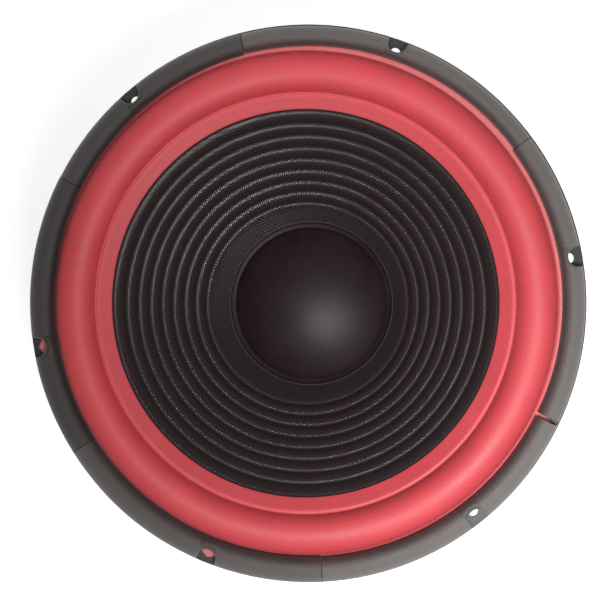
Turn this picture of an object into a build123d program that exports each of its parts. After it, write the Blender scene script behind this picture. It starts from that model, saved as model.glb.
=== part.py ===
from build123d import *
import math
import os

# A 12-inch car subwoofer driver: stamped steel basket, foam surround, corrugated woven cone,
# spider, voice coil and ferrite motor.
# Millimetres. +Z points out of the front of the driver, towards the listener.
# The origin is the centre of the bolt circle, on the rear face of the flange (the face that
# seats on the baffle).

# ---- driving dimensions -------------------------------------------------------------------
SHEET = 1.2  # thickness of the basket's steel
STAMPED_R = 2.5  # bend radius of the stamping

FLANGE_R = 154.3
BOLT_COUNT = 6
BOLT_CIRCLE_R = 147.0
BOLT_HOLE_R = 2.75

BASKET_MOUTH_R = 138.0  # inner edge of the flange's flat front
BASKET_STEP = (133.5, -14.0)  # foot of the short wall under the flange (radius, height)
SHELF_OUTER_R = 78.0
SHELF_INNER_R = 65.0
SHELF_Z = -62.0  # front of the shelf that the spider is glued to
CUP_FOOT_R = 63.5
CUP_FLOOR_Z = -80.8
CUP_FLOOR_INNER_R = 41.0
SPOKE_COUNT = 6
SPOKE_WIDTH = 22.0
WINDOW_OUTER_R = 127.0
WINDOW_INNER_R = 88.0
WINDOW_CORNER_R = 7.0
SPOKE_MIDDLE_R = (WINDOW_OUTER_R + WINDOW_INNER_R) / 2
TERMINAL_SPOKE_ANGLE = 270.0
BEAD_LENGTH = 38.0  # pressed bead that stiffens a spoke
BEAD_WIDTH = 9.0
BEAD_HEIGHT = 1.6

GASKET_OUTER_R = 152.6
GASKET_INNER_R = 140.2
GASKET_INNER_SHIFT = 1.2  # the ring of segments is glued a little off centre
GASKET_SHIFT_ANGLE = 35.0
GASKET_TOP_Z = 9.5
GASKET_NOTCH_R = 6.0
GASKET_NOTCH_CENTRE_R = 149.6
GASKET_EDGE = 1.6  # chamfer of the top edges
# angle of each joint between two segments, and the width of its gap
GASKET_JOINTS = ((26.2, 0.4), (93.3, 0.9), (143.0, 0.4), (203.7, 0.4), (265.0, 0.6), (325.3, 2.4))

SURROUND_LIP_OUTER_R = 143.3
SURROUND_LIP = 0.8  # thickness where it is pressed flat on the flange
SURROUND_FOAM = 1.2  # thickness of the roll
ROLL_OUTER_R = 139.0
ROLL_INNER_R = 116.8
ROLL_MIDDLE_R = (ROLL_OUTER_R + ROLL_INNER_R) / 2
ROLL_TOP_Z = 11.0
ROLL_FOOT_Z = 1.3  # front of the valley between the roll and its skirt
SURROUND_FOOT_R = 108.7  # inner end of the skirt glued on the cone
SKIRT_FOAM = 0.9
GLUE_LINE = 0.3  # between the surround's skirt and the cone

CONE_RIM_R = 116.5
CONE_SLOPE = 0.6  # rise of the front face per millimetre of radius
CONE_NECK_R = 25.5
CONE_WALL = 1.0  # measured along Z
CONE_SLANT = math.hypot(1.0, CONE_SLOPE)
CONE_SHEET = CONE_WALL / CONE_SLANT  # wall thickness square to the slope
RIB_COUNT = 8
RIB_PITCH = 6.0
RIB_HEIGHT = 1.1
OUTER_RIB_R = 108.6  # outer edge of the outermost rib, next to the surround's skirt
GROOVE_WIDTH = 1.0
GROOVE_DEPTH = 0.5

EYELET_CIRCLE_R = 40.0  # two eyelets in the cone, under the dust cap, take the leads
EYELET_X = 9.0
CONE_EYELET_R = 1.3
CONE_EYELET_HEAD_R = 2.3
CONE_EYELET_HEAD = 0.5
CONE_EYELET_PLAY = 0.05
CONE_EYELET_SEAT = 0.1  # the flat front head stands this far off the hollow face

CAP_LIP_OUTER_R = 49.5
CAP_LIP_INNER_R = 45.7
CAP_RISE = 13.0  # dome's height over the circle where it leaves its lip
CAP_WALL = 0.8

FORMER_INNER_R = 25.0
FORMER_OUTER_R = 25.4
FORMER_TOP_Z = -53.0
FORMER_FOOT_Z = -93.0
COLLAR_OUTER_R = 25.8
COLLAR_TOP_Z = -56.0
COLLAR_FOOT_Z = -75.0
WINDING_OUTER_R = 26.4
WINDING_LENGTH = 16.0
NECK_GLUE = 3.2  # bead of glue in the corner behind the cone's neck

SPIDER_INNER_R = 26.0
SPIDER_FLAT_INNER_R = 66.0
SPIDER_OUTER_R = 75.5
SPIDER_CLOTH = 0.6
SPIDER_WAVES = 6
SPIDER_FIRST_WAVE_R = 29.4
SPIDER_HALF_WAVE = (SPIDER_FLAT_INNER_R - SPIDER_FIRST_WAVE_R) / (2 * SPIDER_WAVES)
SPIDER_AMPLITUDE = 1.5

PLATE_FRONT_Z = CUP_FLOOR_Z - SHEET
PLATE_THICKNESS = 6.0
PLATE_HOLE_R = 27.0
PLATE_OUTER_R = 55.0
MAGNET_INNER_R = 31.0
MAGNET_OUTER_R = 60.0
MAGNET_THICKNESS = 20.0
MAGNET_EDGE = 1.5
YOKE_OUTER_R = 57.0
YOKE_THICKNESS = 6.0
YOKE_EDGE = 2.0
POLE_R = 24.5
VENT_R = 9.0
VENT_FLARE = 3.0
RIVET_COUNT = 4
RIVET_CIRCLE_R = 49.0
RIVET_R = 2.2
RIVET_HEAD_R = 4.0
RIVET_HEAD = 1.6
RIVET_PLAY = 0.05

BOARD_WIDTH = 40.0
BOARD_HEIGHT = 16.0
BOARD_THICKNESS = 1.6
BOARD_CORNER_R = 2.0
BOARD_RIVET_SPACING = 11.0
LUG_X = 15.0  # each terminal's distance from the spoke's centre line
LUG_SPACING = 2 * LUG_X
TAB_THICKNESS = 0.8
TAB_BASE = 7.0
TAB_POINT = 1.2  # chamfer of a blade's tip
POSITIVE_TAB_WIDTH = 6.3
NEGATIVE_TAB_WIDTH = 4.8
TAB_REACH = 9.0
EYELET_R = 1.6
EYELET_HEAD_R = 2.6
EYELET_HEAD = 0.7
EYELET_PLAY = 0.05
EYELET_BORE_R = 0.8
FRONT_HEAD_LIFT = 0.35  # the spoke curves forwards across its width, so the front heads stand off
RIVET_BACK_LIFT = SHEET + BOARD_THICKNESS
LUG_BACK_LIFT = RIVET_BACK_LIFT + TAB_THICKNESS

LEAD_R = 1.0  # braided tinsel lead
LEAD_GAP = 0.1  # between a lead's end and the eyelet that it is soldered to
LEAD_START = 8.0  # straight run out of the terminal's eyelet
LEAD_END = 6.0  # straight run into the cone's eyelet

MAGNET_FRONT_Z = PLATE_FRONT_Z - PLATE_THICKNESS
YOKE_FRONT_Z = MAGNET_FRONT_Z - MAGNET_THICKNESS
BACK_Z = YOKE_FRONT_Z - YOKE_THICKNESS
FLANGE_FRONT_Z = SHEET
SURROUND_LIP_TOP_Z = FLANGE_FRONT_Z + SURROUND_LIP

os.makedirs("parts", exist_ok=True)


def save(part, name):
    """Label one finished piece and write it as its own STEP file."""
    part.label = name
    export_step(part, f"parts/{name}.step")


def cone_front(radius):
    """Height of the cone's plain front face at a radius."""
    return CONE_SLOPE * (radius - CONE_RIM_R)


def polar(radius, degrees):
    """X and Y of a point given by its radius and angle."""
    return radius * math.cos(math.radians(degrees)), radius * math.sin(math.radians(degrees))


# ---- basket --------------------------------------------------------------------------------
leg_drop = BASKET_STEP[1] - SHELF_Z
leg_run = BASKET_STEP[0] - SHELF_OUTER_R
leg_length = math.hypot(leg_drop, leg_run)
leg_out = (leg_drop / leg_length, -leg_run / leg_length)  # leaves a leg's back (radius, height)


def spoke_plane(degrees, radius, lift):
    """Plane on a leg's back: x runs across the leg, y up the leg, z out of its back."""
    height = BASKET_STEP[1] - (BASKET_STEP[0] - radius) * leg_drop / leg_run
    out_r = radius + leg_out[0] * lift
    out_z = height + leg_out[1] * lift
    x, y = polar(out_r, degrees)
    across = polar(1.0, degrees + 90.0)
    normal_xy = polar(leg_out[0], degrees)
    return Plane(
        origin=(x, y, out_z),
        x_dir=(across[0], across[1], 0),
        z_dir=(normal_xy[0], normal_xy[1], leg_out[1]),
    )


spoke_angles = [TERMINAL_SPOKE_ANGLE + i * 360.0 / SPOKE_COUNT for i in range(SPOKE_COUNT)]

with BuildPart() as basket:
    with BuildSketch(Plane.XZ):
        with BuildLine():
            FilletPolyline(
                (FLANGE_R, FLANGE_FRONT_Z),
                (BASKET_MOUTH_R, FLANGE_FRONT_Z),
                BASKET_STEP,
                (SHELF_OUTER_R, SHELF_Z),
                (SHELF_INNER_R, SHELF_Z),
                (CUP_FOOT_R, CUP_FLOOR_Z),
                (CUP_FLOOR_INNER_R, CUP_FLOOR_Z),
                radius=STAMPED_R,
            )
            offset(amount=SHEET, side=Side.LEFT)
        make_face()
    revolve(axis=Axis.Z)
    # six windows between the spokes, punched along the driver's axis
    with BuildSketch(Plane.XY.offset(CUP_FLOOR_Z)) as windows:
        Circle(WINDOW_OUTER_R)
        Circle(WINDOW_INNER_R, mode=Mode.SUBTRACT)
        for angle in spoke_angles:
            with Locations(Location((0, 0, 0), (0, 0, angle))):
                Rectangle(
                    FLANGE_R, SPOKE_WIDTH, align=(Align.MIN, Align.CENTER), mode=Mode.SUBTRACT
                )
        fillet(windows.vertices(), WINDOW_CORNER_R)
    extrude(amount=-CUP_FLOOR_Z - SHEET, mode=Mode.SUBTRACT)
    # a pressed bead stiffens every spoke but the one that carries the terminals
    for angle in spoke_angles[1:]:
        with BuildSketch(spoke_plane(angle, SPOKE_MIDDLE_R, SHEET / 2)):
            SlotOverall(BEAD_LENGTH, BEAD_WIDTH, rotation=90)
        extrude(amount=BEAD_HEIGHT + SHEET / 2)
        with BuildSketch(spoke_plane(angle, SPOKE_MIDDLE_R, -SHEET)):
            SlotOverall(BEAD_LENGTH - 2 * SHEET, BEAD_WIDTH - 2 * SHEET, rotation=90)
        extrude(amount=BEAD_HEIGHT + SHEET, mode=Mode.SUBTRACT)
    # bolt holes in the flange
    with BuildSketch(Plane.XY):
        with PolarLocations(BOLT_CIRCLE_R, BOLT_COUNT):
            Circle(BOLT_HOLE_R)
    extrude(amount=SHEET, mode=Mode.SUBTRACT)
    # holes for the rivets that hold the motor
    with BuildSketch(Plane.XY.offset(PLATE_FRONT_Z)):
        with PolarLocations(RIVET_CIRCLE_R, RIVET_COUNT, start_angle=45):
            Circle(RIVET_R)
    extrude(amount=SHEET, mode=Mode.SUBTRACT)
    # holes for the two rivets that hold the terminal board
    with BuildSketch(spoke_plane(TERMINAL_SPOKE_ANGLE, SPOKE_MIDDLE_R, -SHEET)):
        with GridLocations(BOARD_RIVET_SPACING, 1, 2, 1):
            Circle(EYELET_R)
    extrude(amount=3 * SHEET, mode=Mode.SUBTRACT)
save(basket.part, "basket")

# ---- gasket segments -----------------------------------------------------------------------
shift_x, shift_y = polar(GASKET_INNER_SHIFT, GASKET_SHIFT_ANGLE)
wedge_reach = 2 * GASKET_OUTER_R
for index, (start, gap) in enumerate(GASKET_JOINTS):
    following, following_gap = GASKET_JOINTS[(index + 1) % len(GASKET_JOINTS)]
    span = (following - start) % 360.0
    middle = start + span / 2
    start_trim = math.degrees(gap / 2 / GASKET_OUTER_R)
    end_trim = math.degrees(following_gap / 2 / GASKET_OUTER_R)
    with BuildPart() as segment:
        with BuildSketch(Plane.XY.offset(FLANGE_FRONT_Z)):
            with BuildLine():
                first = polar(wedge_reach, start + start_trim)
                last = polar(wedge_reach, following - end_trim)
                crown = polar(wedge_reach, middle)
                Polyline((0, 0), first, crown, last, close=True)
            make_face()
            Circle(GASKET_OUTER_R, mode=Mode.INTERSECT)
            with Locations((shift_x, shift_y)):
                Circle(GASKET_INNER_R, mode=Mode.SUBTRACT)
            with PolarLocations(GASKET_NOTCH_CENTRE_R, BOLT_COUNT):
                Circle(GASKET_NOTCH_R, mode=Mode.SUBTRACT)
        extrude(amount=GASKET_TOP_Z - FLANGE_FRONT_Z)
        # a step underneath takes the surround's lip
        with BuildSketch(Plane.XY.offset(FLANGE_FRONT_Z)):
            Circle(SURROUND_LIP_OUTER_R + GLUE_LINE)
        extrude(amount=SURROUND_LIP, mode=Mode.SUBTRACT)
        top_edges = segment.faces().sort_by(Axis.Z)[-1].edges()
        long_edges = top_edges.filter_by(GeomType.CIRCLE).sort_by(SortBy.RADIUS)[-3:]
        chamfer(long_edges, GASKET_EDGE)
    save(segment.part, f"gasket_segment_{index + 1}")

# ---- surround ------------------------------------------------------------------------------
foot_z = cone_front(SURROUND_FOOT_R) + GLUE_LINE
with BuildPart() as surround:
    with BuildSketch(Plane.XZ):
        with BuildLine():
            lip_tip = Line(
                (SURROUND_LIP_OUTER_R, FLANGE_FRONT_Z), (SURROUND_LIP_OUTER_R, SURROUND_LIP_TOP_Z)
            )
            lip_top = Line(lip_tip @ 1, (ROLL_OUTER_R, SURROUND_LIP_TOP_Z))
            roll_top = ThreePointArc(
                lip_top @ 1, (ROLL_MIDDLE_R, ROLL_TOP_Z), (ROLL_INNER_R, ROLL_FOOT_Z)
            )
            skirt_top = Line(roll_top @ 1, (SURROUND_FOOT_R, foot_z + SKIRT_FOAM))
            skirt_tip = Line(skirt_top @ 1, (SURROUND_FOOT_R, foot_z))
            skirt_under = Line(skirt_tip @ 1, (CONE_RIM_R, GLUE_LINE))
            toe = Line(skirt_under @ 1, (ROLL_INNER_R + SURROUND_FOAM, GLUE_LINE))
            roll_under = ThreePointArc(
                toe @ 1,
                (ROLL_MIDDLE_R, ROLL_TOP_Z - SURROUND_FOAM),
                (ROLL_OUTER_R - SURROUND_FOAM, FLANGE_FRONT_Z),
            )
            Line(roll_under @ 1, lip_tip @ 0)
        make_face()
    revolve(axis=Axis.Z)
save(surround.part, "surround")

# ---- cone ----------------------------------------------------------------------------------
def cone_outline(drop):
    """Draw the corrugated outline from rim to neck, lowered by drop, and return its two ends."""
    start = (CONE_RIM_R, cone_front(CONE_RIM_R) - drop)
    here = (OUTER_RIB_R, cone_front(OUTER_RIB_R) - drop)
    Line(start, here)
    for number in range(RIB_COUNT):
        groove_r = OUTER_RIB_R - (number + 1) * RIB_PITCH
        rib_foot_r = groove_r + GROOVE_WIDTH / 2
        rib_middle_r = (here[0] + rib_foot_r) / 2
        rib_foot = (rib_foot_r, cone_front(rib_foot_r) - drop)
        ThreePointArc(here, (rib_middle_r, cone_front(rib_middle_r) + RIB_HEIGHT - drop), rib_foot)
        groove_end_r = groove_r - GROOVE_WIDTH / 2
        groove_end = (groove_end_r, cone_front(groove_end_r) - drop)
        ThreePointArc(rib_foot, (groove_r, cone_front(groove_r) - GROOVE_DEPTH - drop), groove_end)
        here = groove_end
    neck = (CONE_NECK_R, cone_front(CONE_NECK_R) - drop)
    Line(here, neck)
    return start, neck


def cone_plane(side, lift):
    """Plane square to the cone at one of its eyelets, lifted off its front face."""
    x_dir, y_dir = polar(1.0, -90.0 + side * math.degrees(math.asin(EYELET_X / EYELET_CIRCLE_R)))
    out_r = EYELET_CIRCLE_R - lift * CONE_SLOPE / CONE_SLANT
    height = cone_front(EYELET_CIRCLE_R) + lift / CONE_SLANT
    return Plane(
        origin=(out_r * x_dir, out_r * y_dir, height),
        x_dir=(-y_dir, x_dir, 0),
        z_dir=(-x_dir * CONE_SLOPE, -y_dir * CONE_SLOPE, 1.0),
    )


with BuildPart() as cone:
    with BuildSketch(Plane.XZ):
        with BuildLine():
            front_rim, front_neck = cone_outline(0.0)
            back_rim, back_neck = cone_outline(CONE_WALL)
            Line(front_rim, back_rim)
            Line(front_neck, back_neck)
        make_face()
    revolve(axis=Axis.Z)
    for side in (-1, 1):
        with BuildSketch(cone_plane(side, 2 * CONE_WALL)):
            Circle(CONE_EYELET_R)
        extrude(amount=-4 * CONE_WALL, mode=Mode.SUBTRACT)
save(cone.part, "cone")

with BuildPart() as cone_eyelets:
    for side in (-1, 1):
        with BuildSketch(cone_plane(side, CONE_EYELET_SEAT)):
            Circle(CONE_EYELET_HEAD_R)
        extrude(amount=CONE_EYELET_HEAD)
        with BuildSketch(cone_plane(side, -CONE_SHEET)):
            Circle(CONE_EYELET_R - CONE_EYELET_PLAY)
        extrude(amount=CONE_SHEET + CONE_EYELET_SEAT)
        with BuildSketch(cone_plane(side, -CONE_SHEET - CONE_EYELET_HEAD)):
            Circle(CONE_EYELET_HEAD_R)
        extrude(amount=CONE_EYELET_HEAD)
save(cone_eyelets.part, "cone_eyelets")

# ---- dust cap ------------------------------------------------------------------------------
cap_lip_z = cone_front(CAP_LIP_INNER_R)
with BuildPart() as dust_cap:
    with BuildSketch(Plane.XZ):
        with BuildLine():
            lip_edge = Line(
                (CAP_LIP_OUTER_R, cone_front(CAP_LIP_OUTER_R)),
                (CAP_LIP_OUTER_R, cone_front(CAP_LIP_OUTER_R) + CAP_WALL),
            )
            lip_face = Line(lip_edge @ 1, (CAP_LIP_INNER_R, cap_lip_z + CAP_WALL))
            half_chord = CAP_LIP_INNER_R * math.sqrt(0.5)
            dome_r = (CAP_LIP_INNER_R**2 + CAP_RISE**2) / (2 * CAP_RISE)
            half_rise = math.sqrt(dome_r**2 - half_chord**2) - (dome_r - CAP_RISE)
            dome = ThreePointArc(
                lip_face @ 1,
                (half_chord, cap_lip_z + CAP_WALL + half_rise),
                (0, cap_lip_z + CAP_WALL + CAP_RISE),
            )
            pole = Line(dome @ 1, (0, cap_lip_z + CAP_RISE))
            under = ThreePointArc(
                pole @ 1,
                (half_chord, cap_lip_z + half_rise),
                (CAP_LIP_INNER_R - CAP_WALL, cone_front(CAP_LIP_INNER_R - CAP_WALL)),
            )
            Line(under @ 1, lip_edge @ 0)
        make_face()
    revolve(axis=Axis.Z)
save(dust_cap.part, "dust_cap")


# ---- voice coil ----------------------------------------------------------------------------
def tube(inner_r, outer_r, foot_z, top_z):
    """A plain tube on the driver's axis."""
    with BuildPart() as piece:
        with BuildSketch(Plane.XY.offset(foot_z)):
            Circle(outer_r)
            Circle(inner_r, mode=Mode.SUBTRACT)
        extrude(amount=top_z - foot_z)
    return piece.part


former = tube(FORMER_INNER_R, FORMER_OUTER_R, FORMER_FOOT_Z, FORMER_TOP_Z)
save(former, "voice_coil_former")

winding = tube(FORMER_OUTER_R, WINDING_OUTER_R, FORMER_FOOT_Z, FORMER_FOOT_Z + WINDING_LENGTH)
save(winding, "voice_coil_winding")

collar = tube(FORMER_OUTER_R, COLLAR_OUTER_R, COLLAR_FOOT_Z, COLLAR_TOP_Z)
save(collar, "former_collar")

neck_back_z = cone_front(COLLAR_OUTER_R) - CONE_WALL
with BuildPart() as neck_adhesive:
    with BuildSketch(Plane.XZ):
        with BuildLine():
            glue_outer_r = COLLAR_OUTER_R + NECK_GLUE
            glue_back = (glue_outer_r, cone_front(glue_outer_r) - CONE_WALL)
            glue_foot = (COLLAR_OUTER_R, neck_back_z - NECK_GLUE)
            Polyline((COLLAR_OUTER_R, neck_back_z), glue_back, glue_foot, close=True)
        make_face()
    revolve(axis=Axis.Z)
save(neck_adhesive.part, "neck_adhesive")

# ---- spider --------------------------------------------------------------------------------
def spider_outline(lift):
    """Draw the wavy outline from the flat rim to the neck, and return its two ends."""
    start = (SPIDER_OUTER_R, SHELF_Z + lift)
    here = (SPIDER_FLAT_INNER_R, SHELF_Z + lift)
    Line(start, here)
    for number in range(2 * SPIDER_WAVES):
        side = 1 if number % 2 == 0 else -1
        there = (here[0] - SPIDER_HALF_WAVE, here[1])
        crest = (here[0] - SPIDER_HALF_WAVE / 2, here[1] + side * SPIDER_AMPLITUDE)
        ThreePointArc(here, crest, there)
        here = there
    neck = (SPIDER_INNER_R, here[1])
    Line(here, neck)
    return start, neck


with BuildPart() as spider:
    with BuildSketch(Plane.XZ):
        with BuildLine():
            under_rim, under_neck = spider_outline(0.0)
            upper_rim, upper_neck = spider_outline(SPIDER_CLOTH)
            Line(under_rim, upper_rim)
            Line(under_neck, upper_neck)
        make_face()
    revolve(axis=Axis.Z)
save(spider.part, "spider")

# ---- motor ---------------------------------------------------------------------------------
with BuildPart() as top_plate:
    with BuildSketch(Plane.XY.offset(MAGNET_FRONT_Z)):
        Circle(PLATE_OUTER_R)
        Circle(PLATE_HOLE_R, mode=Mode.SUBTRACT)
        with PolarLocations(RIVET_CIRCLE_R, RIVET_COUNT, start_angle=45):
            Circle(RIVET_R, mode=Mode.SUBTRACT)
    extrude(amount=PLATE_THICKNESS)
save(top_plate.part, "top_plate")

with BuildPart() as magnet:
    with BuildSketch(Plane.XY.offset(YOKE_FRONT_Z)):
        Circle(MAGNET_OUTER_R)
        Circle(MAGNET_INNER_R, mode=Mode.SUBTRACT)
    extrude(amount=MAGNET_THICKNESS)
    rims = magnet.edges().filter_by(GeomType.CIRCLE).group_by(SortBy.RADIUS)[-1]
    chamfer(rims, MAGNET_EDGE)
save(magnet.part, "magnet")

with BuildPart() as yoke:
    with BuildSketch(Plane.XZ):
        with BuildLine():
            Polyline(
                (VENT_R, PLATE_FRONT_Z),
                (POLE_R, PLATE_FRONT_Z),
                (POLE_R, YOKE_FRONT_Z),
                (YOKE_OUTER_R, YOKE_FRONT_Z),
                (YOKE_OUTER_R, BACK_Z + YOKE_EDGE),
                (YOKE_OUTER_R - YOKE_EDGE, BACK_Z),
                (VENT_R + VENT_FLARE, BACK_Z),
                (VENT_R, BACK_Z + VENT_FLARE),
                close=True,
            )
        make_face()
    revolve(axis=Axis.Z)
save(yoke.part, "yoke")

with BuildPart() as top_plate_rivets:
    with BuildSketch(Plane.XY.offset(MAGNET_FRONT_Z + RIVET_HEAD)):
        with PolarLocations(RIVET_CIRCLE_R, RIVET_COUNT, start_angle=45):
            Circle(RIVET_R - RIVET_PLAY)
    extrude(amount=CUP_FLOOR_Z - MAGNET_FRONT_Z - RIVET_HEAD)
    with BuildSketch(Plane.XY.offset(CUP_FLOOR_Z)):
        with PolarLocations(RIVET_CIRCLE_R, RIVET_COUNT, start_angle=45):
            Circle(RIVET_HEAD_R)
    extrude(amount=RIVET_HEAD)
    heads = top_plate_rivets.faces().group_by(Axis.Z)[-1].edges()
    fillet(heads, RIVET_HEAD * 0.6)
save(top_plate_rivets.part, "top_plate_rivets")

# ---- terminals -----------------------------------------------------------------------------
board_plane = spoke_plane(TERMINAL_SPOKE_ANGLE, SPOKE_MIDDLE_R, SHEET)
board_back = spoke_plane(TERMINAL_SPOKE_ANGLE, SPOKE_MIDDLE_R, RIVET_BACK_LIFT)
tab_face = spoke_plane(TERMINAL_SPOKE_ANGLE, SPOKE_MIDDLE_R, LUG_BACK_LIFT)

with BuildPart() as terminal_board:
    with BuildSketch(board_plane):
        RectangleRounded(BOARD_WIDTH, BOARD_HEIGHT, BOARD_CORNER_R)
        with GridLocations(BOARD_RIVET_SPACING, 1, 2, 1):
            Circle(EYELET_R, mode=Mode.SUBTRACT)
        with GridLocations(LUG_SPACING, 1, 2, 1):
            Circle(EYELET_R, mode=Mode.SUBTRACT)
    extrude(amount=BOARD_THICKNESS)
save(terminal_board.part, "terminal_board")


def terminal(side, width):
    """An angled blade terminal: its base lies on the board, its blade stands out of the back."""
    with BuildPart() as blade:
        with BuildSketch(board_back):
            with Locations((side * LUG_X, 0)):
                Rectangle(width, TAB_BASE)
                Circle(EYELET_R, mode=Mode.SUBTRACT)
        extrude(amount=TAB_THICKNESS)
        with BuildSketch(tab_face):
            with Locations((side * LUG_X, (TAB_BASE - TAB_THICKNESS) / 2)):
                Rectangle(width, TAB_THICKNESS)
        extrude(amount=TAB_REACH)
        tip = blade.faces().sort_by(Axis(tab_face.origin, tab_face.z_dir))[-1]
        across = tip.edges().sort_by(SortBy.LENGTH)[:2]
        chamfer(across, TAB_POINT)
    return blade.part


save(terminal(-1, POSITIVE_TAB_WIDTH), "terminal_positive")
save(terminal(1, NEGATIVE_TAB_WIDTH), "terminal_negative")


def tubular_rivets(spacing, foot_lift, head_lift):
    """A pair of hollow rivets through the board, with a head at each end."""
    foot = spoke_plane(TERMINAL_SPOKE_ANGLE, SPOKE_MIDDLE_R, foot_lift - EYELET_HEAD)
    shank = spoke_plane(TERMINAL_SPOKE_ANGLE, SPOKE_MIDDLE_R, foot_lift)
    head = spoke_plane(TERMINAL_SPOKE_ANGLE, SPOKE_MIDDLE_R, head_lift)
    with BuildPart() as pair:
        with BuildSketch(foot):
            with GridLocations(spacing, 1, 2, 1):
                Circle(EYELET_HEAD_R)
        extrude(amount=EYELET_HEAD)
        with BuildSketch(shank):
            with GridLocations(spacing, 1, 2, 1):
                Circle(EYELET_R - EYELET_PLAY)
        extrude(amount=head_lift - foot_lift)
        with BuildSketch(head):
            with GridLocations(spacing, 1, 2, 1):
                Circle(EYELET_HEAD_R)
        extrude(amount=EYELET_HEAD)
        with BuildSketch(foot):
            with GridLocations(spacing, 1, 2, 1):
                Circle(EYELET_BORE_R)
        extrude(amount=head_lift - foot_lift + 3 * EYELET_HEAD, mode=Mode.SUBTRACT)
    return pair.part


save(tubular_rivets(BOARD_RIVET_SPACING, -FRONT_HEAD_LIFT, RIVET_BACK_LIFT), "terminal_board_rivets")
save(tubular_rivets(LUG_SPACING, SHEET, LUG_BACK_LIFT), "terminal_lug_eyelets")

# ---- tinsel leads --------------------------------------------------------------------------
# Each lead leaves its eyelet through a window, hangs in a slack bow and rises to the cone's neck.
lug_front = spoke_plane(TERMINAL_SPOKE_ANGLE, SPOKE_MIDDLE_R, SHEET - EYELET_HEAD - LEAD_GAP)


def lead_route(side):
    """The route of one lead from its terminal to its eyelet in the cone."""
    start = lug_front.from_local_coords(Vector(side * LUG_X, 0, 0))
    cone_back = cone_plane(side, -CONE_SHEET - CONE_EYELET_HEAD - LEAD_GAP)
    return [
        start,
        start - lug_front.z_dir * LEAD_START,
        Vector(side * 14.5, -91.5, -33.5),
        Vector(side * 13.6, -79.0, -41.0),
        Vector(side * 12.6, -67.5, -48.5),
        Vector(side * 11.6, -57.0, -53.6),
        Vector(side * 10.5, -48.0, -54.6),
        cone_back.origin - cone_back.z_dir * LEAD_END,
        cone_back.origin,
    ]


def corner_radii(points):
    """The largest arc that each corner's two runs allow."""
    radii = []
    for before, corner, after in zip(points, points[1:], points[2:]):
        run_in = corner - before
        run_out = after - corner
        half_turn = math.radians(run_in.get_angle(run_out)) / 2
        radii.append(0.45 * min(run_in.length, run_out.length) / math.tan(half_turn))
    return radii


def lead(side, name):
    """One braided lead: a round section along straight runs joined by tangent arcs."""
    points = lead_route(side)
    radii = corner_radii(points)
    with BuildPart() as braid:
        with BuildLine():
            route = FilletPolyline(*points, radius=radii)
        with BuildSketch(Plane(origin=route @ 0, z_dir=route % 0)):
            Circle(LEAD_R)
        sweep(path=route)
    section = math.pi * LEAD_R**2
    print(name, "radii", [round(r, 1) for r in radii], "length", round(route.length, 1))
    print(name, "volume", round(braid.part.volume, 1), "of", round(section * route.length, 1))
    save(braid.part, name)


lead(-1, "tinsel_lead_positive")
lead(1, "tinsel_lead_negative")
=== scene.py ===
"""Looks of a twelve-inch car subwoofer driver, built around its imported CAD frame.

Lengths in the classes below are millimetres; meshes are made in metres. +Z is the front of the
driver. Every round piece is an outline, drawn point by point and spun about the driver's axis.
"""

import logging
import math
from collections.abc import Callable
from dataclasses import dataclass, field, replace
from enum import Enum
from functools import cache

import bmesh
import bpy
import numpy as np
from mathutils import Matrix, Vector


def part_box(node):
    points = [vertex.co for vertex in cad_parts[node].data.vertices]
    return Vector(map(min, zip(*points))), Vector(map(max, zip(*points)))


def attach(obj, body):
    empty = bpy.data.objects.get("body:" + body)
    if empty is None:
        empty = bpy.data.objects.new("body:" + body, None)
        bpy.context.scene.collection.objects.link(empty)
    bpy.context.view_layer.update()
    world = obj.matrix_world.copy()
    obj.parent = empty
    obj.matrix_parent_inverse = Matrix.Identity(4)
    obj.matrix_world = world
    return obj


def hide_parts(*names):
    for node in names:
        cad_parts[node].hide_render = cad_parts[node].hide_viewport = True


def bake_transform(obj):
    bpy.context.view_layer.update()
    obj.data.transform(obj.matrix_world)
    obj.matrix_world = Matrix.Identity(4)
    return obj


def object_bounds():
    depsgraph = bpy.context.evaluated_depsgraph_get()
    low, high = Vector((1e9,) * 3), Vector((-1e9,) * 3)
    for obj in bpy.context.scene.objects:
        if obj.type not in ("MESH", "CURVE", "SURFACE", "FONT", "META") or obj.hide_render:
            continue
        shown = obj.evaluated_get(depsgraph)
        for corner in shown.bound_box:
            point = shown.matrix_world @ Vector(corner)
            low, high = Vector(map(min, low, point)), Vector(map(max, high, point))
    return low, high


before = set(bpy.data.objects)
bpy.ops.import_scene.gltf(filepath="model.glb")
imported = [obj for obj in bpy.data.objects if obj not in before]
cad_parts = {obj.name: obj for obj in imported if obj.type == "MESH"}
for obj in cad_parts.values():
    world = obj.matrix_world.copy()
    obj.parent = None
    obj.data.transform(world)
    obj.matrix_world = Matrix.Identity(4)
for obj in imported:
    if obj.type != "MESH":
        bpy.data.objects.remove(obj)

log = logging.getLogger("driver")
CAD_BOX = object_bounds()
MM = 0.001
FULL_TURN = 2 * math.pi
CLOTH_TURN = math.radians(-9.5)  # the cone was glued with its weave at a slant to the bolt holes
BLACK = (0.0, 0.0, 0.0, 1.0)
DUST = (0.16, 0.15, 0.14, 1.0)


class Body(Enum):
    """The two CAD bodies that pieces ride on."""

    FRAME = "frame"
    CONE = "cone_assembly"


class Port(Enum):
    """Inputs of the Principled shader that a finish may feed with a pattern."""

    COLOUR = "Base Color"
    ROUGHNESS = "Roughness"
    NORMAL = "Normal"


# ---- modelling by hand ------------------------------------------------------------------------


def deselect() -> None:
    """Leave nothing selected, so that an operator acts on the new piece only."""
    if bpy.context.object and bpy.context.object.mode != "OBJECT":
        bpy.ops.object.mode_set(mode="OBJECT")
    bpy.ops.object.select_all(action="DESELECT")


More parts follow.
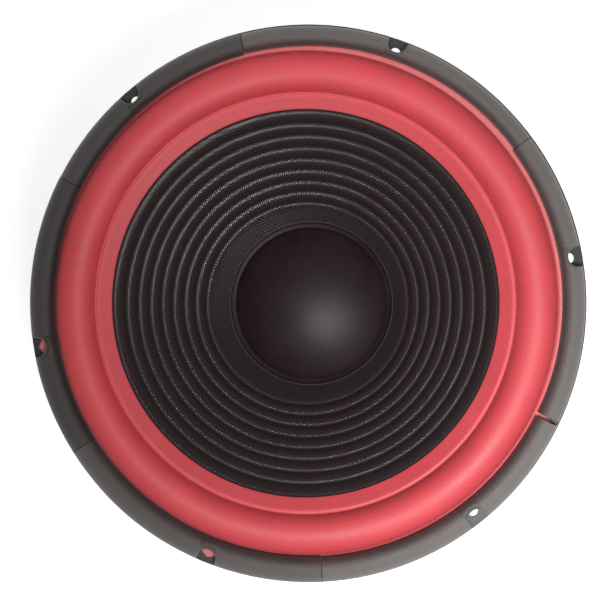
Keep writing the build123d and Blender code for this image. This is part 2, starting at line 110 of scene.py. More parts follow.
class Outline:
    """A path in the plane of radius and height, in millimetres, made of lines and arcs."""

    def __init__(self, radius: float, height: float) -> None:
        """Start the path.

        Args:
            radius: distance of the first point from the axis.
            height: its height.
        """
        self.points: list[tuple[float, float]] = [(radius, height)]

    def line(self, radius: float, height: float, steps: int = 1) -> "Outline":
        """Draw a straight line.

        Args:
            radius: radius of its end.
            height: height of its end.
            steps: number of edges that it is divided into.

        Returns:
            The outline itself, so that calls can be chained.
        """
        r0, z0 = self.points[-1]
        for i in range(1, steps + 1):
            t = i / steps
            self.points.append((r0 + (radius - r0) * t, z0 + (height - z0) * t))
        return self

    def arc(self, through: tuple[float, float], end: tuple[float, float], steps: int) -> "Outline":
        """Draw a circular arc.

        Args:
            through: a point on the arc, as (radius, height).
            end: the arc's end.
            steps: number of edges.

        Returns:
            The outline itself.
        """
        a, b, c = (complex(*p) for p in (self.points[-1], through, end))
        w = (c - a) / (b - a)
        centre = (b - a) * (w - abs(w) ** 2) / (w - w.conjugate()) + a
        turn = phase_between(a - centre, b - centre, c - centre)
        for i in range(1, steps + 1):
            part = turn * i / steps
            here = centre + (a - centre) * complex(math.cos(part), math.sin(part))
            self.points.append((here.real, here.imag))
        return self


def phase_between(a: complex, b: complex, c: complex) -> float:
    """Signed angle from a to c about the origin on the side that passes b.

    Args:
        a: first direction.
        b: a direction passed on the way.
        c: last direction.

    Returns:
        The angle in radians.
    """
    to_b = math.atan2((b / a).imag, (b / a).real) % FULL_TURN
    to_c = math.atan2((c / a).imag, (c / a).real) % FULL_TURN
    return to_c if to_b < to_c else to_c - FULL_TURN


def draw(name: str, outline: Outline, closed: bool) -> bpy.types.Object:
    """Draw an outline as a chain of edges in the XZ plane, vertex by vertex.

    Args:
        name: name of the new piece.
        outline: the path.
        closed: whether its last point joins its first.

    Returns:
        The new object, in edit mode, with the whole chain selected.
    """
    deselect()
    bpy.ops.mesh.primitive_plane_add(size=MM, location=(0, 0, 0))
    piece = bpy.context.object
    piece.name = piece.data.name = name
    bpy.ops.object.mode_set(mode="EDIT")
    bpy.ops.mesh.select_all(action="SELECT")
    bpy.ops.mesh.merge(type="CENTER")
    path = [Vector((r, 0, z)) * MM for r, z in outline.points]
    bpy.ops.transform.translate(value=path[0])
    steps = list(zip(path, path[1:] + path[:1] if closed else path[1:]))
    for here, there in steps:
        bpy.ops.mesh.extrude_region_move(TRANSFORM_OT_translate={"value": there - here})
    bpy.ops.mesh.select_all(action="SELECT")
    bpy.ops.mesh.remove_doubles(threshold=MM * 0.002)
    return piece


def spun(name: str, outline: Outline, closed: bool, segments: int) -> bpy.types.Object:
    """Spin an outline once round the driver's axis.

    Args:
        name: name of the new piece.
        outline: the path in radius and height.
        closed: whether the path is a loop.
        segments: steps in the full turn.

    Returns:
        The new object, in object mode, smooth, with its faces turned outwards.
    """
    piece = draw(name, outline, closed)
    bpy.ops.mesh.spin(steps=segments, angle=FULL_TURN, center=(0, 0, 0), axis=(0, 0, 1))
    bpy.ops.mesh.select_all(action="SELECT")
    bpy.ops.mesh.remove_doubles(threshold=MM * 0.005)
    bpy.ops.mesh.normals_make_consistent(inside=False)
    bpy.ops.object.mode_set(mode="OBJECT")
    bpy.ops.object.shade_smooth_by_angle(angle=math.radians(40))
    return piece


def reshape(piece: bpy.types.Object, move: Callable[[np.ndarray], np.ndarray]) -> None:
    """Move all of a piece's vertices by a function.

    Args:
        piece: the piece.
        move: takes the vertices in millimetres, one row each, and returns their new places.
    """
    mesh = piece.data
    points = np.empty(len(mesh.vertices) * 3)
    mesh.vertices.foreach_get("co", points)
    moved = move(points.reshape(-1, 3) / MM) * MM
    mesh.vertices.foreach_set("co", moved.ravel())
    mesh.update()


def waver(angle: np.ndarray, seed: float, size: float) -> np.ndarray:
    """A slow, seamless unevenness round the driver, as hand-glued soft parts have.

    Args:
        angle: angle of each point about the axis.
        seed: picks the pattern.
        size: its greatest height.

    Returns:
        One offset for each angle.
    """
    waves = ((3, 0.45), (5, 0.3), (8, 0.15), (13, 0.1))
    return size * sum(share * np.sin(count * angle + seed * count) for count, share in waves)


# ---- material building --------------------------------------------------------------------------


@dataclass
class Sheet:
    """A node tree being drawn: adds nodes and links them."""

    tree: bpy.types.NodeTree

    def add(self, kind: str, inputs: dict | None = None, **settings: object) -> bpy.types.Node:
        """Add one node.

        Args:
            kind: node type without its ShaderNode prefix.
            inputs: socket name or index to a value or to another node's output socket.
            settings: properties of the node.

        Returns:
            The new node.
        """
        node = self.tree.nodes.new(kind if kind.startswith("NodeGroup") else "ShaderNode" + kind)
        for key, value in settings.items():
            setattr(node, key, value)
        for key, value in (inputs or {}).items():
            if isinstance(value, bpy.types.NodeSocket):
                self.tree.links.new(value, node.inputs[key])
            else:
                node.inputs[key].default_value = value
        return node

    def math(self, operation: str, a: object, b: object = 0.0, clamp: bool = False) -> object:
        """Add a Math node and return its output socket."""
        return self.add("Math", {0: a, 1: b}, operation=operation, use_clamp=clamp).outputs[0]

    def ramp(
        self, value: object, low: object, high: object, out_low: float = 0.0, out_high: float = 1.0
    ) -> object:
        """Map a value from one range to another, clamped, and return the output socket."""
        inputs = {0: value, 1: low, 2: high, 3: out_low, 4: out_high}
        return self.add("MapRange", inputs, clamp=True).outputs[0]

    def blend(self, share: object, a: object, b: object) -> object:
        """Mix two colours by a share and return the output socket."""
        node = self.add("Mix", {0: share, 6: a, 7: b}, data_type="RGBA")
        return node.outputs[2]

    def noise(self, vector: object, scale: object, detail: float = 2.0) -> object:
        """Add a noise texture and return its value socket."""
        return self.add("TexNoise", {"Vector": vector, "Scale": scale, "Detail": detail}).outputs[0]

    def off_axis(self, vector: object) -> object:
        """Measure a place's distance from the driver's axis and return the output socket."""
        flat = self.add("VectorMath", {0: vector, 1: (1, 1, 0)}, operation="MULTIPLY").outputs[0]
        return self.add("VectorMath", {0: flat}, operation="LENGTH").outputs["Value"]


def open_group(name: str, **inputs: object) -> tuple[Sheet, object]:
    """Start a shader node group that works on a Vector.

    Args:
        name: the group's name.
        inputs: names of its other inputs, all floats, and their defaults.

    Returns:
        A Sheet on the group, and the sockets of its inputs by name.
    """
    group = bpy.data.node_groups.new(name, "ShaderNodeTree")
    group.interface.new_socket("Vector", in_out="INPUT", socket_type="NodeSocketVector")
    for socket, default in inputs.items():
        made = group.interface.new_socket(socket, in_out="INPUT", socket_type="NodeSocketFloat")
        made.default_value = default
    sheet = Sheet(group)
    return sheet, sheet.add("NodeGroupInput").outputs


def close_group(sheet: Sheet, **outputs: object) -> bpy.types.NodeTree:
    """End a node group.

    Args:
        sheet: the Sheet on the group.
        outputs: names of its outputs, all floats, and the sockets that feed them.

    Returns:
        The group.
    """
    for socket in outputs:
        sheet.tree.interface.new_socket(socket, in_out="OUTPUT", socket_type="NodeSocketFloat")
    sheet.add("NodeGroupOutput", outputs)
    return sheet.tree


class Effects:
    """Node groups that several finishes share. Each is made once."""

    @staticmethod
    @cache
    def grain() -> bpy.types.NodeTree:
        """Fine grain with slow blotches: moulded, sprayed and foamed surfaces all have some.

        Returns:
            The group, with outputs Height and Blotch, both from 0 to 1.
        """
        sheet, given = open_group("grain", Fine=1500.0, Coarse=60.0)
        fine = sheet.noise(given["Vector"], given["Fine"], 3.0)
        coarse = sheet.noise(given["Vector"], given["Coarse"], 4.0)
        return close_group(sheet, Height=fine, Blotch=sheet.ramp(coarse, 0.3, 0.7))

    @staticmethod
    @cache
    def pores() -> bpy.types.NodeTree:
        """Open cells of cut foam.

        Returns:
            The group, with the output Height, 0 in a pore and 1 between pores.
        """
        sheet, given = open_group("pores", Scale=900.0)
        cells = sheet.add("TexVoronoi", {"Vector": given["Vector"], "Scale": given["Scale"]})
        return close_group(sheet, Height=sheet.ramp(cells.outputs["Distance"], 0.05, 0.45))

    @staticmethod
    @cache
    def weave() -> bpy.types.NodeTree:
        """Plain weave seen square on: threads along x and y take turns on top.

        Returns:
            The group, with outputs Height and Gap (1 between threads).
        """
        sheet, given = open_group("weave", Pitch=1.15 * MM)
        axes = sheet.add("SeparateXYZ", {0: given["Vector"]}).outputs
        turns = sheet.math("DIVIDE", math.pi, given["Pitch"])
        u, v = (sheet.math("SINE", sheet.math("MULTIPLY", axes[i], turns)) for i in (0, 1))
        warp_on_top = sheet.math("GREATER_THAN", sheet.math("MULTIPLY", u, v), 0.0)
        across_u, across_v = sheet.math("ABSOLUTE", u), sheet.math("ABSOLUTE", v)
        crown_u, crown_v = sheet.math("POWER", across_u, 0.5), sheet.math("POWER", across_v, 0.5)
        warp = sheet.math("MULTIPLY", crown_u, sheet.ramp(across_v, 0, 1, 0.55, 1.0))
        weft = sheet.math("MULTIPLY", crown_v, sheet.ramp(across_u, 0, 1, 0.55, 1.0))
        height = sheet.add("Mix", {0: warp_on_top, 2: weft, 3: warp}).outputs[0]
        gap = sheet.ramp(sheet.math("MULTIPLY", across_u, across_v), 0.0, 0.32, 1.0, 0.0)
        return close_group(sheet, Height=height, Gap=gap)

    @staticmethod
    @cache
    def radius() -> bpy.types.NodeTree:
        """Distance from the driver's axis.

        Returns:
            The group, with the output Share: 0 at radius From, 1 at radius To, clamped.
        """
        sheet, given = open_group("radius", From=0.0, To=1.0)
        distance = sheet.off_axis(given["Vector"])
        return close_group(sheet, Share=sheet.ramp(distance, given["From"], given["To"]))

    @staticmethod
    @cache
    def rings() -> bpy.types.NodeTree:
        """Rings round the driver's axis, as the cone's grooves make.

        Returns:
            The group, with the output Mask: 1 on rings at radius Start and every Pitch from it.
        """
        sheet, given = open_group("rings", Start=0.0, Pitch=6.0 * MM)
        from_start = sheet.math("SUBTRACT", sheet.off_axis(given["Vector"]), given["Start"])
        turns = sheet.math("DIVIDE", from_start, given["Pitch"])
        wave = sheet.math("COSINE", sheet.math("MULTIPLY", turns, FULL_TURN))
        return close_group(sheet, Mask=sheet.ramp(wave, -1, 1))

    @staticmethod
    @cache
    def dust() -> bpy.types.NodeTree:
        """Specks and a thin film of dust.

        Returns:
            The group, with the output Mask, 1 where dust lies.
        """
        sheet, given = open_group("dust", Amount=0.5)
        film = sheet.noise(given["Vector"], 35.0, 5.0)
        specks = sheet.ramp(sheet.noise(given["Vector"], 2600.0, 1.0), 0.68, 0.74)
        filmed = sheet.ramp(film, 0.35, 0.75, 0.0, 0.5)
        total = sheet.math("ADD", sheet.math("MULTIPLY", specks, film), filmed, clamp=True)
        return close_group(sheet, Mask=sheet.math("MULTIPLY", total, given["Amount"]))


@dataclass(frozen=True)
class Finish:
    """A finish: plain values for the shader, and a pattern that its subclass draws."""

    name: str
    colour: tuple[float, float, float]
    roughness: float = 0.6
    metallic: float = 0.0
    specular: float = 0.5
    sheen: float = 0.0
    turn: float = 0.0

    def material(self) -> bpy.types.Material:
        """Make the material the first time, and return it.

        Returns:
            The material.
        """
        found = bpy.data.materials.get(self.name)
        if found:
            return found
        made = bpy.data.materials.new(self.name)
        made.use_nodes = True
        sheet = Sheet(made.node_tree)
        shader = made.node_tree.nodes["Principled BSDF"]
        shader.inputs["Base Color"].default_value = (*self.colour, 1)
        shader.inputs["Roughness"].default_value = self.roughness
        shader.inputs["Metallic"].default_value = self.metallic
        shader.inputs["Specular IOR Level"].default_value = self.specular
        shader.inputs["Sheen Weight"].default_value = self.sheen
        place = sheet.add("TexCoord").outputs["Object"]
        if self.turn:
            turned = sheet.add("Mapping", {"Vector": place, "Rotation": (0, 0, self.turn)})
            place = turned.outputs["Vector"]
        for port, socket in self.pattern(sheet, place).items():
            made.node_tree.links.new(socket, shader.inputs[port.value])
        return made

    def pattern(self, sheet: Sheet, place: object) -> dict[Port, object]:
        """Draw the finish's pattern.

        Args:
            sheet: the material's node tree.
            place: socket with the object coordinates.

        Returns:
            The shader inputs that the pattern feeds.
        """
        raise NotImplementedError

    def shades(self, dark: float, light: float) -> tuple[tuple, tuple]:
        """The finish's colour made darker and lighter, as two RGBA values."""
        return (*(c * dark for c in self.colour), 1), (*(min(1, c * light) for c in self.colour), 1)

    def bump(self, sheet: Sheet, height: object, depth: float, below: object = None) -> object:
        """Turn a height from 0 to 1 into a normal.

        Args:
            sheet: the node tree.
            height: socket with the height.
            depth: its depth in millimetres.
            below: normal of a coarser bump under this one.

        Returns:
            The normal's socket.
        """
        inputs = {"Height": height, "Distance": depth * MM, "Strength": 1.0}
        if below is not None:
            inputs["Normal"] = below
        return sheet.add("Bump", inputs).outputs[0]

    def group(
        self, sheet: Sheet, effect: bpy.types.NodeTree, place: object, **values: float
    ) -> object:
        """Place a shared effect in the material and return its outputs."""
        return sheet.add("Group", {"Vector": place, **values}, node_tree=effect).outputs

    def beyond(self, sheet: Sheet, place: object, start: float, end: float) -> object:
        """Mask that rises from 0 at a radius of start millimetres to 1 at a radius of end."""
        span = {"From": start * MM, "To": end * MM}
        return self.group(sheet, Effects.radius(), place, **span)["Share"]


@dataclass(frozen=True)
class Foam(Finish):
    """Moulded or cut foam: pores, faint blotches, and a soft surface."""

    cells: float = 1400.0
    pore_depth: float = 0.05
    pore_dark: float = 0.22
    mottle: float = 0.12
    pale_edge_and_glare_colour: tuple[float, float, float] = (1.0, 1.0, 1.0)
    pale_edge_and_glare_from: float = 0.0
    pale_edge_and_glare_to: float = 1.0
    edge_offset: tuple[float, float] = (0.0, 0.0)
    inner_dark: float = 0.0
    inner_from: float = 0.0
    inner_to: float = 1.0

    def pattern(self, sheet: Sheet, place: object) -> dict[Port, object]:
        """Pores in the normal, blotches in the colour, a paler outer and a darker inner edge; on
        the gasket foam the paler outer part is a painted highlight.

        Args:
            sheet: the material's node tree.
            place: socket with the object coordinates.

        Returns:
            The shader inputs that the pattern feeds.
        """
        pores = self.group(sheet, Effects.pores(), place, Scale=self.cells)["Height"]
        grain = self.group(sheet, Effects.grain(), place, Fine=self.cells * 1.7, Coarse=45.0)
        colour = sheet.blend(grain["Blotch"], *self.shades(1 - self.mottle, 1 + self.mottle))
        aside = (self.edge_offset[0] * MM, self.edge_offset[1] * MM, 0)
        moved = sheet.add("VectorMath", {0: place, 1: aside}, operation="ADD").outputs[0]
        # paler band towards the outer radius: on the gasket foam a painted highlight of glare from
        # the bright floor, on the surround foam its paler glued edge
        edge = self.beyond(sheet, moved, self.pale_edge_and_glare_from, self.pale_edge_and_glare_to)
        colour = sheet.blend(edge, colour, (*self.pale_edge_and_glare_colour, 1))
        if self.inner_dark:
            clear = self.beyond(sheet, place, self.inner_from, self.inner_to)
            colour = sheet.blend(sheet.ramp(clear, 0, 1, self.inner_dark, 0), colour, BLACK)
        pitted = sheet.blend(sheet.ramp(pores, 0, 1, self.pore_dark, 0), colour, BLACK)
        normal = self.bump(sheet, pores, self.pore_depth)
        normal = self.bump(sheet, grain["Height"], self.pore_depth, normal)
        rough = sheet.ramp(grain["Blotch"], 0, 1, self.roughness, self.roughness + 0.08)
        return {Port.COLOUR: pitted, Port.NORMAL: normal, Port.ROUGHNESS: rough}


@dataclass(frozen=True)
class Cloth(Finish):
    """Woven cloth stiffened with resin: threads with shine, gaps without; each thread's crown
    painted lighter and its sides darker, as painted glints and shade.
    """

    pitch: float = 1.15
    relief: float = 0.16
    thread_glint_and_shade: float = 0.3
    unevenness: float = 0.35
    gap_colour: tuple[float, float, float] = (0.004, 0.003, 0.003)
    gap_roughness: float = 0.95
    pressed_from: float = 0.0
    pressed_to: float = 0.0
    groove_pitch: float = 6.0
    groove_shade_and_dullness: float = 0.85
    band_dark: float = 0.65
    band_dull: float = 0.26

    def pattern(self, sheet: Sheet, place: object) -> dict[Port, object]:
        """Weave in normal, colour and roughness; the pressed grooves duller and darkened with
        painted shade, the smooth band darker and duller.

        Args:
            sheet: the material's node tree.
            place: socket with the object coordinates.

        Returns:
            The shader inputs that the pattern feeds.
        """
        uneven = self.pulled(sheet, place)
        weave = self.group(sheet, Effects.weave(), uneven, Pitch=self.pitch * MM)
        grain = self.group(sheet, Effects.grain(), place, Fine=4000.0, Coarse=40.0)
        gap, gap_colour = weave["Gap"], (*self.gap_colour, 1)
        # painted glint and shade: the thread's crown made lighter and its sides darker
        crown = sheet.ramp(weave["Height"], 0.45, 1.0)
        thread = sheet.blend(crown, *self.shades(1 - self.thread_glint_and_shade, 1 + self.thread_glint_and_shade))
        colour = sheet.blend(gap, thread, gap_colour)
        normal = self.bump(sheet, weave["Height"], self.relief)
        normal = self.bump(sheet, grain["Height"], self.relief * 0.12, normal)
        resin = sheet.ramp(grain["Blotch"], 0, 1, self.roughness - 0.04, self.roughness + 0.08)
        dull = gap
        if self.pressed_to:
            ribbed = self.beyond(sheet, place, self.pressed_from - 2, self.pressed_from + 1)
            start = {"Start": self.pressed_to * MM, "Pitch": self.groove_pitch * MM}
            rings = self.group(sheet, Effects.rings(), place, **start)["Mask"]
            # painted shade: the colour is darkened towards the gap colour in the pressed grooves,
            # where shade falls; the roughness there is raised too
            groove = sheet.ramp(rings, 0.6, 0.97, 0.0, self.groove_shade_and_dullness)
            groove = sheet.math("MULTIPLY", groove, ribbed)
            colour = sheet.blend(sheet.ramp(ribbed, 0, 1, self.band_dark, 0), colour, gap_colour)
            colour = sheet.blend(groove, colour, gap_colour)
            for duller in (groove, sheet.ramp(ribbed, 0, 1, self.band_dull, 0)):
                dull = sheet.math("MAXIMUM", dull, duller)
        rough = sheet.add("Mix", {0: dull, 2: resin, 3: self.gap_roughness}).outputs[0]
        return {Port.COLOUR: colour, Port.NORMAL: normal, Port.ROUGHNESS: rough}

    def pulled(self, sheet: Sheet, place: object) -> object:
        """Pull the place about a little, so that threads aren't ruler-straight.

        Args:
            sheet: the material's node tree.
            place: socket with the object coordinates.

        Returns:
            Socket with the pulled coordinates.
        """
        jitter = sheet.add("TexNoise", {"Vector": place, "Scale": 90.0, "Detail": 2.0}).outputs[1]
        centred = sheet.add("VectorMath", {0: jitter, 1: (0.5, 0.5, 0.5)}, operation="SUBTRACT")
        pull = {0: centred.outputs[0], 3: self.unevenness * MM}
        shift = sheet.add("VectorMath", pull, operation="SCALE").outputs[0]
        return sheet.add("VectorMath", {0: place, 1: shift}, operation="ADD").outputs[0]


@dataclass(frozen=True)
class Paint(Finish):
    """Sprayed paint or lacquer with orange peel and a film of dust."""

    peel: float = 0.04
    dust: float = 0.25
    dusty_roughness: float = 0.85
    fine: float = 900.0

    def pattern(self, sheet: Sheet, place: object) -> dict[Port, object]:
        """Orange peel in the normal, dust in colour and roughness.

        Args:
            sheet: the material's node tree.
            place: socket with the object coordinates.

        Returns:
            The shader inputs that the pattern feeds.
        """
        grain = self.group(sheet, Effects.grain(), place, Fine=self.fine, Coarse=70.0)
        dust = self.group(sheet, Effects.dust(), place, Amount=self.dust)
        paint = sheet.blend(grain["Blotch"], *self.shades(0.85, 1.2))
        colour = sheet.blend(dust["Mask"], paint, DUST)
        rough = sheet.ramp(dust["Mask"], 0, 1, self.roughness, self.dusty_roughness)
        normal = self.bump(sheet, grain["Height"], self.peel)
        return {Port.COLOUR: colour, Port.NORMAL: normal, Port.ROUGHNESS: rough}


@dataclass(frozen=True)
class Plated(Finish):
    """Plated or bare metal: lathe rings, tarnish, and fine scratches."""

    ring_pitch: float = 0.35
    ring_depth: float = 0.004
    stained: float = 0.3
    tarnish: tuple[float, float, float] = (0.30, 0.27, 0.22)

    def pattern(self, sheet: Sheet, place: object) -> dict[Port, object]:
        """Turned rings in the normal, tarnish in colour and roughness.

        Args:
            sheet: the material's node tree.
            place: socket with the object coordinates.

        Returns:
            The shader inputs that the pattern feeds.
        """
        turns = sheet.math("MULTIPLY", sheet.off_axis(place), FULL_TURN / (self.ring_pitch * MM))
        ring = sheet.math("SINE", turns)
        grain = self.group(sheet, Effects.grain(), place, Fine=700.0, Coarse=28.0)
        stain = sheet.ramp(grain["Blotch"], 0.2, 1.0, 0.0, self.stained)
        colour = sheet.blend(stain, (*self.colour, 1), (*self.tarnish, 1))
        rough = sheet.ramp(grain["Height"], 0.3, 0.7, self.roughness, self.roughness + 0.18)
        normal = self.bump(sheet, sheet.ramp(ring, -1, 1), self.ring_depth)
        normal = self.bump(sheet, grain["Height"], 0.01, normal)
        return {Port.COLOUR: colour, Port.NORMAL: normal, Port.ROUGHNESS: rough}


@dataclass(frozen=True)
class Wound(Finish):
    """Turns of wire or braid, one on the next along the driver's axis."""

    wire: float = 0.32
    gap_colour: tuple[float, float, float] = (0.02, 0.008, 0.004)

    def pattern(self, sheet: Sheet, place: object) -> dict[Port, object]:
        """A round of wire for every pitch of height.

        Args:
            sheet: the material's node tree.
            place: socket with the object coordinates.

        Returns:
            The shader inputs that the pattern feeds.
        """
        axes = sheet.add("SeparateXYZ", {0: place})
        phase = sheet.math("MULTIPLY", axes.outputs[2], math.pi / (self.wire * MM))
        round_wire = sheet.math("ABSOLUTE", sheet.math("SINE", phase))
        grain = self.group(sheet, Effects.grain(), place, Fine=2500.0, Coarse=90.0)
        wire = sheet.blend(grain["Blotch"], *self.shades(0.7, 1.15))
        between = sheet.ramp(round_wire, 0, 0.35, 0.85, 0)
        colour = sheet.blend(between, wire, (*self.gap_colour, 1))
        normal = self.bump(sheet, sheet.math("POWER", round_wire, 0.5), self.wire * 0.4)
        rough = sheet.ramp(grain["Height"], 0.3, 0.7, self.roughness, self.roughness + 0.15)
        return {Port.COLOUR: colour, Port.NORMAL: normal, Port.ROUGHNESS: rough}


@dataclass(frozen=True)
class Braid(Finish):
    """Tinsel braid: strands crossing at a slant, read from the lead's own UV map."""

    strands: float = 9.0
    lay: float = 60.0
    gap_colour: tuple[float, float, float] = (0.10, 0.05, 0.03)

    def pattern(self, sheet: Sheet, place: object) -> dict[Port, object]:
        """Crossed strands in the normal and the colour.

        Args:
            sheet: the material's node tree.
            place: socket with the object coordinates.

        Returns:
            The shader inputs that the pattern feeds.
        """
        uv = sheet.add("UVMap", uv_map="route").outputs[0]
        axes = sheet.add("SeparateXYZ", {0: uv})
        round_it = sheet.math("MULTIPLY", axes.outputs[0], math.pi * self.strands)
        along = sheet.math("MULTIPLY", axes.outputs[1], math.pi * self.lay)
        left = sheet.math("SINE", sheet.math("ADD", round_it, along))
        right = sheet.math("SINE", sheet.math("SUBTRACT", round_it, along))
        crossed = sheet.math("ABSOLUTE", sheet.math("MULTIPLY", left, right))
        grain = self.group(sheet, Effects.grain(), place, Fine=3500.0, Coarse=300.0)
        copper = sheet.blend(grain["Blotch"], *self.shades(0.8, 1.15))
        between = sheet.ramp(crossed, 0, 0.3, 0.8, 0)
        colour = sheet.blend(between, copper, (*self.gap_colour, 1))
        normal = self.bump(sheet, crossed, 0.12)
        rough = sheet.ramp(grain["Height"], 0.3, 0.7, self.roughness, self.roughness + 0.2)
        return {Port.COLOUR: colour, Port.NORMAL: normal, Port.ROUGHNESS: rough}


RED_FOAM = Foam(
    "red_surround_foam", (0.54, 0.045, 0.057), roughness=0.52, specular=0.6, sheen=0.07,
    cells=1000.0, pore_depth=0.05, mottle=0.05,
    pale_edge_and_glare_colour=(0.64, 0.145, 0.145), pale_edge_and_glare_from=140.6, pale_edge_and_glare_to=141.2, edge_offset=(1.06, 0.75),
    inner_dark=0.11, inner_from=114.0, inner_to=116.0,
)
GREY_FOAM = Foam(
    "grey_gasket_foam", (0.034, 0.020, 0.020), roughness=0.55, sheen=0.15, cells=1200.0,
    pore_depth=0.08, mottle=0.16,
    # the paler outer edge is a painted highlight of glare from the bright floor
    pale_edge_and_glare_colour=(0.150, 0.140, 0.134), pale_edge_and_glare_from=141.0, pale_edge_and_glare_to=153.0,
)
BLACK_CLOTH = Cloth(
    "black_cone_cloth", (0.016, 0.0055, 0.007), roughness=0.155, specular=0.37, turn=CLOTH_TURN,
    pitch=1.3, relief=0.12, thread_glint_and_shade=0.75, pressed_from=57.6, pressed_to=102.6,
)
AMBER_CLOTH = Cloth(
    "amber_spider_cloth", (0.50, 0.26, 0.07), roughness=0.6, specular=0.35, sheen=0.2, pitch=0.9,
    relief=0.12, gap_colour=(0.12, 0.055, 0.015),
)
BLACK_CAP = Paint(
    "black_dust_cap", (0.010, 0.004, 0.005), roughness=0.45, specular=0.24, peel=0.1,
    dust=0.02, fine=1700.0,
)
BLACK_PAINT = Paint("black_basket_paint", (0.026, 0.025, 0.025), roughness=0.48, dust=0.25)
HARD_PAPER = Paint(
    "brown_terminal_board", (0.085, 0.040, 0.018), roughness=0.6, peel=0.03, dust=0.3
)
BLACK_GLUE = Paint(
    "black_rubber_glue", (0.014, 0.012, 0.011), roughness=0.45, peel=0.2, fine=300.0
)
KRAFT = Paint("kraft_former_collar", (0.36, 0.22, 0.11), roughness=0.85, peel=0.04, fine=1600.0)
FERRITE = Paint("ground_ferrite", (0.040, 0.040, 0.043), roughness=0.55, peel=0.03)
ZINC = Plated("zinc_plated_steel", (0.50, 0.50, 0.49), roughness=0.34, metallic=1.0)
TINNED = Plated(
    "tinned_brass", (0.66, 0.60, 0.44), roughness=0.3, metallic=1.0, ring_pitch=3.0,
    ring_depth=0.0, tarnish=(0.36, 0.27, 0.14),
)
FOIL = Plated("former_foil", (0.72, 0.72, 0.73), roughness=0.35, metallic=1.0, ring_pitch=2.0)
COPPER = Wound("enamelled_copper_wire", (0.55, 0.20, 0.08), roughness=0.3, metallic=1.0)
TINSEL = Braid("tinsel_braid", (0.62, 0.36, 0.20), roughness=0.4, metallic=0.85)


# ---- common to all sub-assemblies ---------------------------------------------------------------


def dress(finish: Finish, *nodes: str) -> None:
    """Give CAD nodes that stay on show their finish.

    Args:
        finish: the finish.
        nodes: names of the nodes.
    """
    for node in nodes:
        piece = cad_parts[node]
        piece.data.materials.clear()
        piece.data.materials.append(finish.material())
        log.info("dressed %s in %s", node, finish.name)


def fit(piece: bpy.types.Object, finish: Finish, slot: str, *nodes: str) -> bpy.types.Object:
    """Give a new piece its finish, and hide the CAD nodes that it stands for.

    Args:
        piece: the piece.
        finish: its finish.
        slot: material slot of the record; not used.
        nodes: the CAD nodes that it replaces.

    Returns:
        The piece.
    """
    piece.data.materials.clear()
    piece.data.materials.append(finish.material())
    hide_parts(*nodes)
    log.info("made %s, %d faces", piece.name, len(piece.data.polygons))
    return piece


def flex(piece: bpy.types.Object) -> None:
    """Bake a ring's transform into its mesh and read its vertices, which are not used further.

    Args:
        piece: the ring.
    """
    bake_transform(piece)
    points = np.empty(len(piece.data.vertices) * 3)
    piece.data.vertices.foreach_get("co", points)


def node_size(node: str) -> tuple[float, float, float]:
    """Outer radius, lowest and highest point of a CAD node on the axis, in millimetres."""
    low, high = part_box(node)
    return high.x / MM, low.z / MM, high.z / MM


# ---- sub-assemblies -----------------------------------------------------------------------------


